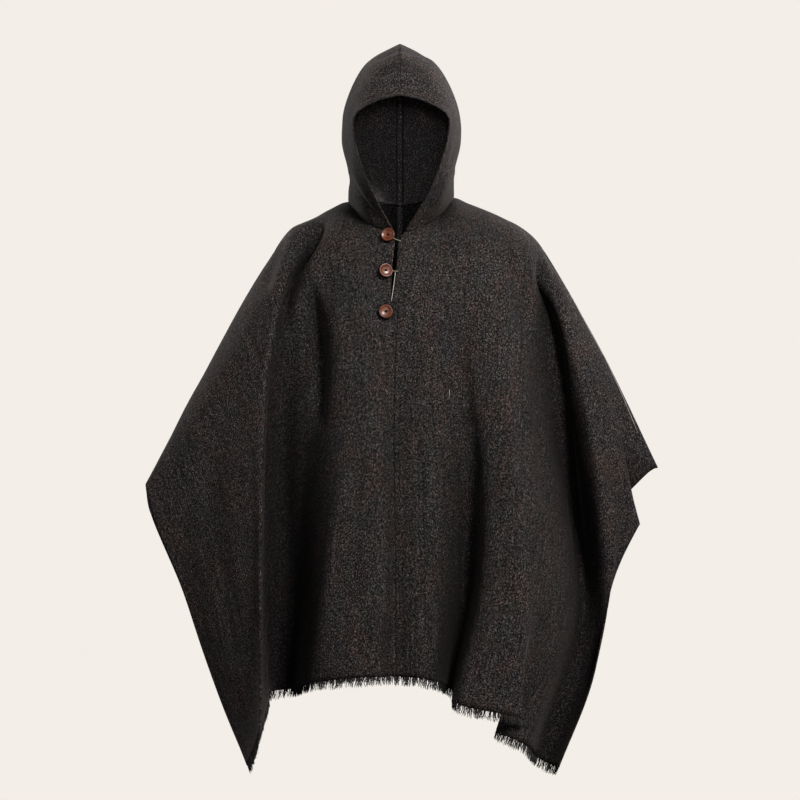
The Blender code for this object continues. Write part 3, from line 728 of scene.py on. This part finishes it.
def heathered(n, cloth, space, fleck, yarns, light):
    """Colour of the wool: fibres, slow drifts of colour, streaks along the warp, and painted light and shade
    on the yarns' crests and hollows.
    """
    streak = n.noise(n.stretched(cloth, (1.0, 0.035, 1.0)), 240.0, 2.0, 0.6)
    drift = n.noise(n.stretched(cloth, (1.0, 0.5, 1.0)), 26.0, 2.0, 0.5)
    patches = {"Vector": n.stretched(cloth, (1.0, 0.45, 1.0)), "Scale": 85.0, "Detail": 3.0}
    hue = n.add("ShaderNodeTexNoise", patches).outputs[1]
    grain = n.add("ShaderNodeTexNoise", {"Vector": space, "Scale": 520.0, "Detail": 1.0}).outputs[1]
    vivid = n.add("ShaderNodeHueSaturation", {"Saturation": 0.5, "Value": 2.0, "Color": grain}).outputs[0]
    fibres = [(place, [part * light for part in colour]) for place, colour in HEATHER]
    tint = n.ramp(drift, (0.36, (0.9, 0.92, 0.94)), (0.5, (1.0, 0.96, 0.95)), (0.64, (1.13, 0.97, 0.92)))
    shade = n.ramp(streak, (0.3, grey(0.66)), (0.7, grey(1.34)))
    # painted shade: the yarns' hollows darker and their crests lighter
    painted_yarn_shade = n.ramp(n.math("MULTIPLY_ADD", yarns, 0.5, 0.5), (0.0, grey(0.66)), (1.0, grey(1.26)))
    colour = n.mix("MULTIPLY", 1.0, n.ramp(fleck, *fibres), tint)
    colour = n.mix("OVERLAY", 0.09, colour, hue)
    colour = n.mix("MULTIPLY", 1.0, colour, shade)
    colour = n.mix("MULTIPLY", 1.0, colour, painted_yarn_shade)
    return n.mix("MULTIPLY", 0.7, colour, vivid)


def wool(name, light, painted_fold_shade=2.2, painted_edge_shade=0.0):
    """Charcoal heathered twill. `light` scales its colours, and the third argument is how strongly painted
    shade darkens it in folds.

    The fourth argument is the width of a strip, in metres, whose two sides get painted shade and whose middle
    is painted lighter.
    """
    n = Nodes(name)
    cloth = n.add("ShaderNodeUVMap", uv_map="cloth").outputs[0]
    parts = n.add("ShaderNodeSeparateXYZ", {0: cloth})
    u, v = parts.outputs[0], parts.outputs[1]
    space = n.add("ShaderNodeTexCoord").outputs["Object"]
    fleck = n.noise(n.stretched(space, (1.0, 1.0, 0.8)), 470.0, 2.0, 0.85)
    yarns = twill(n, cloth, u, v)
    colour = heathered(n, cloth, space, fleck, yarns, light)
    # painted shade: darker bands along both sides of the strip for the shadows at its edges, and a lighter
    # middle
    if painted_edge_shade:
        middle = n.math("ABSOLUTE", n.math("SUBTRACT", u, painted_edge_shade / 2))
        sides = n.ramp(n.math("DIVIDE", middle, painted_edge_shade / 2), (0.5, grey(1.3)), (0.62, grey(0.16)))
        colour = n.mix("MULTIPLY", 1.0, colour, sides)
    # painted shade in folds, darker where other cloth is near
    if painted_fold_shade:
        colour = n.paint_fold_shade(colour, painted_fold_shade)
    else:
        colour = n.mix("MIX", 0.4, colour, (*(part * light for part in CALM), 1))
    colour = n.mix("MULTIPLY", 1.0, colour, (1.0, 0.925, 0.935, 1))
    height = n.math("ADD", n.math("MULTIPLY", yarns, 0.35), n.math("MULTIPLY", fleck, 1.2))
    n.put(n.shader.inputs["Sheen Weight"], 0.012)
    n.put(n.shader.inputs["Sheen Roughness"], 0.4)
    n.put(n.shader.inputs["Sheen Tint"], (0.7, 0.64, 0.6, 1))
    n.put(n.shader.inputs["Specular IOR Level"], 0.02)
    return n.finish(Base_Color=colour, Roughness=0.95, Normal=n.bump(height, 0.6, 0.0006))


def wood():
    """Red-brown wood with a fine grain, slightly polished."""
    n = Nodes("polished wood")
    place = n.add("ShaderNodeTexCoord").outputs["Object"]
    grain = n.noise(n.stretched(place, (60.0, 300.0, 900.0)), 1.0, 4.0, 0.6)
    blotch = n.noise(place, 160.0, 2.0, 0.5)
    dark, middle, pale = (0.0095, 0.0021, 0.0008), (0.023, 0.0058, 0.002), (0.041, 0.0125, 0.005)
    colour = n.ramp(grain, (0.3, dark), (0.55, middle), (0.75, pale))
    uneven = n.ramp(blotch, (0.35, (0.6, 0.55, 0.5)), (0.65, (1.3, 1.2, 1.15)))
    colour = n.mix("MULTIPLY", 0.5, colour, uneven)
    n.put(n.shader.inputs["Specular IOR Level"], 0.08)
    n.put(n.shader.inputs["Coat Weight"], 0.035)
    n.put(n.shader.inputs["Coat Roughness"], 0.2)
    return n.finish(Base_Color=colour, Roughness=0.38, Normal=n.bump(grain, 0.12, 0.0003))


def painted_slot_shade():
    """Near-black paint on the bottom of a button's shallow slot, painted shade that stands in for the hole's
    depth.
    """
    n = Nodes("button slot painted shade")
    place = n.add("ShaderNodeTexCoord").outputs["Object"]
    colour = n.ramp(n.noise(place, 900.0), (0.3, (0.0008, 0.0004, 0.0003)), (0.7, (0.003, 0.0014, 0.0009)))
    n.put(n.shader.inputs["Specular IOR Level"], 0.02)
    return n.finish(Base_Color=colour, Roughness=0.9)


def thread(name, dark, pale, painted_fold_shade=0.0):
    """Twisted yarn between two colours. The last argument is how strongly painted shade darkens it in folds.
    """
    n = Nodes(name)
    place = n.add("ShaderNodeTexCoord").outputs["Object"]
    twist = n.noise(n.stretched(place, (1.0, 1.0, 0.45)), 2400.0, 2.0, 0.6)
    colour = n.ramp(twist, (0.35, dark), (0.65, pale))
    # painted shade in folds, darker where other cloth is near
    if painted_fold_shade:
        colour = n.paint_fold_shade(colour, painted_fold_shade)
    n.put(n.shader.inputs["Specular IOR Level"], 0.02)
    return n.finish(Base_Color=colour, Roughness=0.85, Normal=n.bump(twist, 0.5, 0.0002))


def floor_finish():
    n = Nodes("studio floor")
    place = n.add("ShaderNodeTexCoord").outputs["Object"]
    colour = n.ramp(n.noise(place, 3.0), (0.3, (0.09, 0.086, 0.081)), (0.7, (0.096, 0.092, 0.0865)))
    return n.finish(Base_Color=colour, Roughness=0.9)


def tubes(paths, radii, around=4):
    """One mesh of thin tubes. `paths` is strands by points, `radii` strands by points."""
    count, length = paths.shape[:2]
    along = unit(np.gradient(paths, axis=1))
    side = unit(np.cross(along, (0.3, 0.9, 0.2)))
    up = np.cross(side, along)
    angle = 2 * math.pi * np.arange(around) / around
    ring = side[:, :, None] * np.cos(angle)[:, None] + up[:, :, None] * np.sin(angle)[:, None]
    points = (paths[:, :, None] + ring * radii[:, :, None, None]).reshape(-1, 3)
    index = np.arange(count * length * around).reshape(count, length, around)
    following = np.roll(index, -1, axis=2)
    sides = np.stack([index[:, :-1], following[:, :-1], following[:, 1:], index[:, 1:]], axis=-1)
    sides = sides.reshape(-1, 4)
    ends = np.concatenate([index[:, 0, ::-1], index[:, -1]])
    return points, sides.tolist() + ends.tolist()


def add_strands(name, grid, out, material, seed, replaces):
    """The hem's own yarn ends, hanging free below its last weft."""
    random = np.random.default_rng(seed)
    edge, above = grid[-1], grid[-1 - FINER]
    length = np.concatenate([[0], np.cumsum(np.linalg.norm(np.diff(edge, axis=0), axis=1))])
    count = int(length[-1] / STRAND_PITCH)
    at = np.sort(random.uniform(0.4, length[-1] - 0.4, count))

    def blend(values):
        return np.stack([np.interp(at, length, values[:, k]) for k in range(3)], axis=-1)

    root, faced = blend(edge), unit(blend(out[-1]))
    fall = unit(blend(edge - above))
    fall = unit(fall + np.array((0, 0, -0.35)))
    along = unit(np.cross(faced, fall))
    reach = FRINGE_LENGTH * random.choice(STRAND_REACH, count, p=STRAND_SHARE)
    reach = reach * random.uniform(0.85, 1.07, count)
    drift = random.normal(0, 1.6, (count, 1))
    curl = random.normal(0, 0.9, (count, 1))
    layer = random.uniform(-0.75, 0.75, (count, 1))
    steps = np.linspace(-0.22, 1, len(STRAND_TAPER))
    paths = []
    for t in steps:
        sway = drift * max(t, 0) ** 1.5 + curl * math.sin(4.5 * max(t, 0))
        tilt = layer + 0.9 * curl * max(t, 0) ** 2
        paths.append(root + fall * (reach * t)[:, None] + along * sway + faced * tilt)
    paths = np.stack(paths, axis=1)
    thick = random.uniform(0.4, 0.62, (count, 1)) * STRAND_TAPER
    points, faces = tubes(paths, thick)
    return add_mesh(name, points, faces, material, None, replaces)


def add_turned(name, spot, normal, tilt, materials):
    """A button turned in wood, dished, with a shallow slot in its middle whose bottom is painted dark as
    shade.
    """
    turn = math.radians(tilt)
    axis = unit(normal * math.cos(turn) + unit(np.cross(normal, (0, 0, 1.0))) * math.sin(turn))
    side = unit(np.cross(axis, (0, 0, 1.0)))
    up = np.cross(side, axis)
    lean = abs(math.sin(turn))
    lift = SEAM_GAP + SHANK + SHANK_RADIUS * lean + max(0, BACK_RADIUS * lean - SHANK)
    centre = spot + normal * lift
    points = [centre + axis * BUTTON_PROFILE[0][1]]
    for radius, height in BUTTON_PROFILE[1:-1]:
        long = np.interp(radius, SLOT_RADII, SLOT_STRETCH) if height > 0 else 1.0
        for k in range(BUTTON_AROUND):
            angle = 2 * math.pi * k / BUTTON_AROUND
            across = side * (math.cos(angle) * radius * long) + up * (math.sin(angle) * radius)
            points.append(centre + axis * height + across)
    points.append(centre + axis * BUTTON_PROFILE[-1][1])
    last = len(points) - 1
    bands = len(BUTTON_PROFILE) - 3
    faces, slots = [], []
    for k in range(BUTTON_AROUND):
        following = (k + 1) % BUTTON_AROUND
        faces.append((0, 1 + k, 1 + following))
        slots.append(1)
        for ring in range(bands):
            a = 1 + ring * BUTTON_AROUND
            faces.append((a + k, a + BUTTON_AROUND + k, a + BUTTON_AROUND + following, a + following))
            slots.append(1 if ring < SLOT_RINGS else 0)
        a = 1 + bands * BUTTON_AROUND
        faces.append((a + k, last, a + following))
        slots.append(0)
    made = add_mesh(name, points, faces, materials[0], None, (name,))
    made.data.materials.append(materials[1])
    made.data.polygons.foreach_set("material_index", slots)
    first = made.data.polygons[0]
    if np.dot(first.normal, axis) < 0:
        made.data.flip_normals()
    return made


def add_loop(name, points, material):
    """A cord loop along the part's own points."""
    line = curve_through(points, stops([12] * (len(points) - 1)))
    mesh_points, faces = tubes(line[None], np.full((1, len(line)), LOOP_RADIUS), 12)
    return add_mesh(name, mesh_points, faces, material, None, (name,))


def add_line(name, line, radius, material):
    """A thread laid along a line of points."""
    points, faces = tubes(np.asarray(line, float)[None], np.full((1, len(line)), radius), 6)
    return add_mesh(name, points, faces, material, None, ())


def on_face(grid, out, row, column, lift=0.5):
    """Points on a shell's outer side along a row, a column or part of one."""
    return grid[row, column] + out[row, column] * (WALL / 2 + lift)


def add_stitches(name, lines, material):
    """Running stitches along lines of (point, direction out) pairs."""
    paths = []
    for line, out in lines:
        length = np.concatenate([[0], np.cumsum(np.linalg.norm(np.diff(line, axis=0), axis=1))])
        for start in np.arange(4, length[-1] - STITCH_LENGTH, STITCH_STEP):
            at = start + STITCH_LENGTH * np.array(STITCH_ALONG)
            p = np.stack([np.interp(at, length, line[:, k]) for k in range(3)], axis=-1)
            o = np.stack([np.interp(at, length, out[:, k]) for k in range(3)], axis=-1)
            paths.append(p + o * np.array(STITCH_RISE)[:, None])
    paths = np.array(paths)
    points, faces = tubes(paths, np.full(paths.shape[:2], STITCH_RADIUS))
    return add_mesh(name, points, faces, material, None, ())


def add_light(name, place, aim, size, power, colour):
    """A square lamp that the camera doesn't see."""
    data = bpy.data.lights.new(name, "AREA")
    data.size = size
    data.energy = power
    data.color = colour
    made = bpy.data.objects.new(name, data)
    bpy.context.scene.collection.objects.link(made)
    made.visible_camera = False
    made.location = place
    away = np.array(place, float) - np.array(aim, float)
    made.rotation_euler = Vector(away).to_track_quat("Z", "Y").to_euler()


def add_hood_light():
    """A narrow beam from the front into the hood."""
    beam = bpy.data.lights.new("into the hood", "SPOT")
    beam.energy = 260
    beam.spot_size = math.radians(7.5)
    beam.spot_blend = 1.0
    beam.shadow_soft_size = 0.15
    made = bpy.data.objects.new("into the hood", beam)
    bpy.context.scene.collection.objects.link(made)
    made.location = (0.05, -4.4, 0.0)
    made.rotation_euler = Vector((0.05, -4.4, -0.1)).to_track_quat("Z", "Y").to_euler()


def add_camera():
    """The camera stands where the eye does from which the tables give x and z."""
    camera = bpy.data.objects.new("camera", bpy.data.cameras.new("camera"))
    bpy.context.scene.collection.objects.link(camera)
    camera.location = (0, -VIEW_DISTANCE * MM, VIEW_HEIGHT * MM)
    camera.rotation_euler = (math.radians(90), 0, 0)
    camera.data.sensor_width = SENSOR
    camera.data.lens = SENSOR * VIEW_DISTANCE / VIEW_WIDTH
    camera.data.clip_end = 60
    camera.data.dof.use_dof = False
    bpy.context.scene.camera = camera


def studio():
    """Pale backdrop and floor, a strong light from high on the camera's right, and weaker ones around."""
    scene = bpy.context.scene
    world = scene.world or bpy.data.worlds.new("studio")
    scene.world = world
    world.use_nodes = True
    shade = world.node_tree.nodes["Background"]
    shade.inputs[0].default_value = BACKDROP
    shade.inputs[1].default_value = 1.0
    at = (0, 0, FLOOR_HEIGHT)
    bpy.ops.mesh.primitive_circle_add(vertices=96, radius=FLOOR_RADIUS, fill_type="NGON", location=at)
    floor = bpy.context.object
    floor.name = "floor"
    floor.data.materials.append(floor_finish())
    for light in LIGHTS:
        add_light(*light)
    add_hood_light()
    add_camera()
    scene.view_settings.view_transform = "Standard"


def draw_body():
    """The whole front and back, each as grid and directions out, the seam's column and half the neck's."""
    front, seam = sheet(FRONT_MIDDLE, FRONT_RIGHT, FRONT_LEFT, NECK_FRONT, -1)
    back, _ = sheet(BACK_MIDDLE, BACK_RIGHT, BACK_LEFT, NECK_BACK, 1)
    front = press_creases(front, outward(front, -1), CREASES + SOFT_CREASES)
    fold_notch(front, back, FINER)
    neck = sum(fine(HOOD_COLUMNS[:2]))
    arms = np.r_[: seam - neck + 1, seam + neck : front.shape[1]]
    front[0, arms] = back[0, arms] = (front[0, arms] + back[0, arms]) / 2
    front[1:] = waves(front, outward(front, -1))[1:]
    back[1:] = waves(back, outward(back, 1))[1:]
    out_front, out_back = outward(front, -1), outward(back, 1)
    out_front[0, arms] = out_back[0, arms] = unit(out_front[0, arms] + out_back[0, arms])
    return (front, out_front), (back, out_back), seam, neck


def draw_side(side, front, back, seam, neck):
    """One side's half of the front, of the back and of the hood, each as grid and directions out."""
    right = side == "right"
    cut = slice(0, seam + 1) if right else slice(seam, None)
    chest, spine = slit_edge(front[0], seam, right), back[0][:, cut]
    faces, backs = front[1][:, cut].copy(), back[1][:, cut].copy()
    ahead = [-1 - k for k in range(neck + 1)] if right else list(range(neck + 1))
    behind = ahead[-2::-1]
    base = np.concatenate([chest[0, ahead], spine[0, behind]])
    hood = hood_half(base, side)
    foot = hood[0].copy()
    hood = press_creases(hood, hood_outward(hood, side), HOOD_CREASES[side])
    hood[0] = foot
    outside = hood_outward(hood, side)
    joined = unit(outside[0] + np.concatenate([faces[0, ahead], backs[0, behind]]))
    joined[-1] = unit(joined[-1] * (0, 1, 1))
    outside[0] = joined
    faces[0, ahead] = joined[: neck + 1]
    backs[0, behind] = joined[neck + 1 :]
    backs[0, ahead[-1]] = joined[neck]
    middle = "last" if right else "first"
    hood = drawn_in(hood, ("top",), SEAM_GAP)
    for place in seam_of_hood(hood):
        hood[place][0] = SEAM_GAP / 2 * (-1 if right else 1)
    chest, spine = drawn_in(chest, ("top", middle)), drawn_in(spine, ("top", middle))
    return (chest, faces), (spine, backs), (hood, outside)


def add_cloth(sheets, hoods):
    """The panels with their fringes, and the two halves of the hood."""
    # the outside and the wrong side get painted shade in their folds
    right_side = wool("charcoal wool", 0.27)
    panel = right_side, wool("charcoal wool wrong side", 0.25, 1.0)
    # the hood's inside is painted about three and a half times lighter than the outside, painted light that
    # stands in for light inside the hood, with no painted fold shade
    hooded = right_side, wool("charcoal wool inside painted lighter", 0.95, 0)
    # the fringe's yarn gets painted shade in folds too
    yarn = thread("wool ends", (0.0045, 0.0042, 0.0042), (0.016, 0.0147, 0.0143), 2.0)
    made = {}
    for seed, (name, (grid, out)) in enumerate(sheets.items()):
        rolled = seam_rolled(grid, out, ("top",), 0.5)
        made[name] = add_shell("cloth_" + name, rolled, out, WALL, panel, ("panel_" + name,))
        add_strands("strands_" + name, grid, out, yarn, 11 + seed, ("fringe_" + name,))
    for side, (grid, out) in hoods.items():
        name = "hood_" + side
        rolled = seam_rolled(grid, out, ("top", "bottom", "last"))
        made[name] = add_shell("cloth_" + name, rolled, out, WALL, hooded, (name,), True)
    return made


def add_strips(sheets, hoods):
    """The strips inside the seams of the hood and of the back."""
    # the strip is painted as light as the hood's inside, painted light, with painted shade along its two
    # sides
    strip_painted_light = wool("charcoal wool strip painted lighter", 0.95, 0, STRIP_WIDTH * MM)
    (hood_r, out_hood), (hood_l, _) = hoods["right"], hoods["left"]
    places, beside = seam_of_hood(hood_r), beside_seam_of_hood(hood_r)
    line = (points_at(hood_r, places) + points_at(hood_l, places)) / 2
    right, left = points_at(hood_r, beside), points_at(hood_l, beside)
    strip = seam_strip(line, right, left, points_at(out_hood, places))
    add_shell("cloth_strip_hood", *strip, STRIP_THICK, (strip_painted_light, strip_painted_light), ("strip_hood",))
    (back_r, out_r), (back_l, _) = sheets["back_right"], sheets["back_left"]
    line = (back_r[:, -1] + back_l[:, 0]) / 2
    strip = seam_strip(line, back_r[:, -2], back_l[:, 1], out_r[:, -1])
    add_shell("cloth_strip_back", *strip, STRIP_THICK, (strip_painted_light, strip_painted_light), ("strip_back",))


def add_fittings(coarse):
    """The buttons and the cord loops, on the fronts as `coarse` grids."""
    # the slots' bottoms get painted shade
    turned = wood(), painted_slot_shade()
    cord = thread("loop cord", (0.025, 0.022, 0.018), (0.06, 0.054, 0.045))
    for name, x, z, tilt in BUTTONS:
        spot = placed(x, z, FITTINGS_DEPTH)
        add_turned(name, *surface_at(*coarse["right"], spot[0], spot[2]), tilt, turned)
    for name, ends in LOOPS:
        points = []
        for panel, x, z in ends:
            spot = placed(x, z, FITTINGS_DEPTH)
            point, out = surface_at(*coarse[panel], spot[0], spot[2])
            points.append(point + out * (LOOP_RADIUS + 0.5))
        add_loop(name, points, cord)


def add_threads(sheets, coarse):
    """The pale threads on the left front, and the stitches of the side edges' hems."""
    pale = thread("pale cord", (0.045, 0.0425, 0.039), (0.12, 0.114, 0.104))
    sewing = thread("sewing thread", (0.002, 0.0019, 0.0018), (0.008, 0.0075, 0.007))
    grid, out = sheets["front_left"]
    add_line("thread_over_left_arm", on_face(grid, out, ARM_THREAD_ROW, ARM_THREAD), 0.42, pale)
    low, high = SLIT_THREAD
    edge = [k for k in range(grid.shape[0]) if low < grid[k, 0, 2] < high]
    add_line("thread_at_slit", on_face(grid, out, edge, 0, 0.2), 0.6, pale)
    start, facing = surface_at(*coarse["left"], *LOOSE_THREAD[0])
    end, _ = surface_at(*coarse["left"], *LOOSE_THREAD[1])
    points = [start + facing * 0.6, (start + end) / 2 + facing * 1.6, end + facing * 0.6]
    add_line("loose_thread", points, 0.35, pale)
    hems = []
    for name, (grid, out) in sheets.items():
        edge, inner = (0, 1) if name.endswith("right") else (-1, -2)
        inward = grid[:, inner] - grid[:, edge]
        line = grid[:, edge] + inward * (HEM_WIDTH / np.linalg.norm(inward, axis=-1, keepdims=True))
        hems.append((line[2:-1] + out[2:-1, inner] * WALL / 2, out[2:-1, inner]))
    add_stitches("side_hem_stitches", hems, sewing)


def main():
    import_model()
    front, back, seam, neck = draw_body()
    sheets, hoods, coarse = {}, {}, {}
    for side in ("right", "left"):
        chest, spine, hoods[side] = draw_side(side, front, back, seam, neck)
        sheets["front_" + side], sheets["back_" + side] = chest, spine
        coarse[side] = [part[::COARSE, ::COARSE] for part in chest]
    made = add_cloth(sheets, hoods)
    add_strips(sheets, hoods)
    add_fittings(coarse)
    add_threads(sheets, coarse)
    studio()


main()
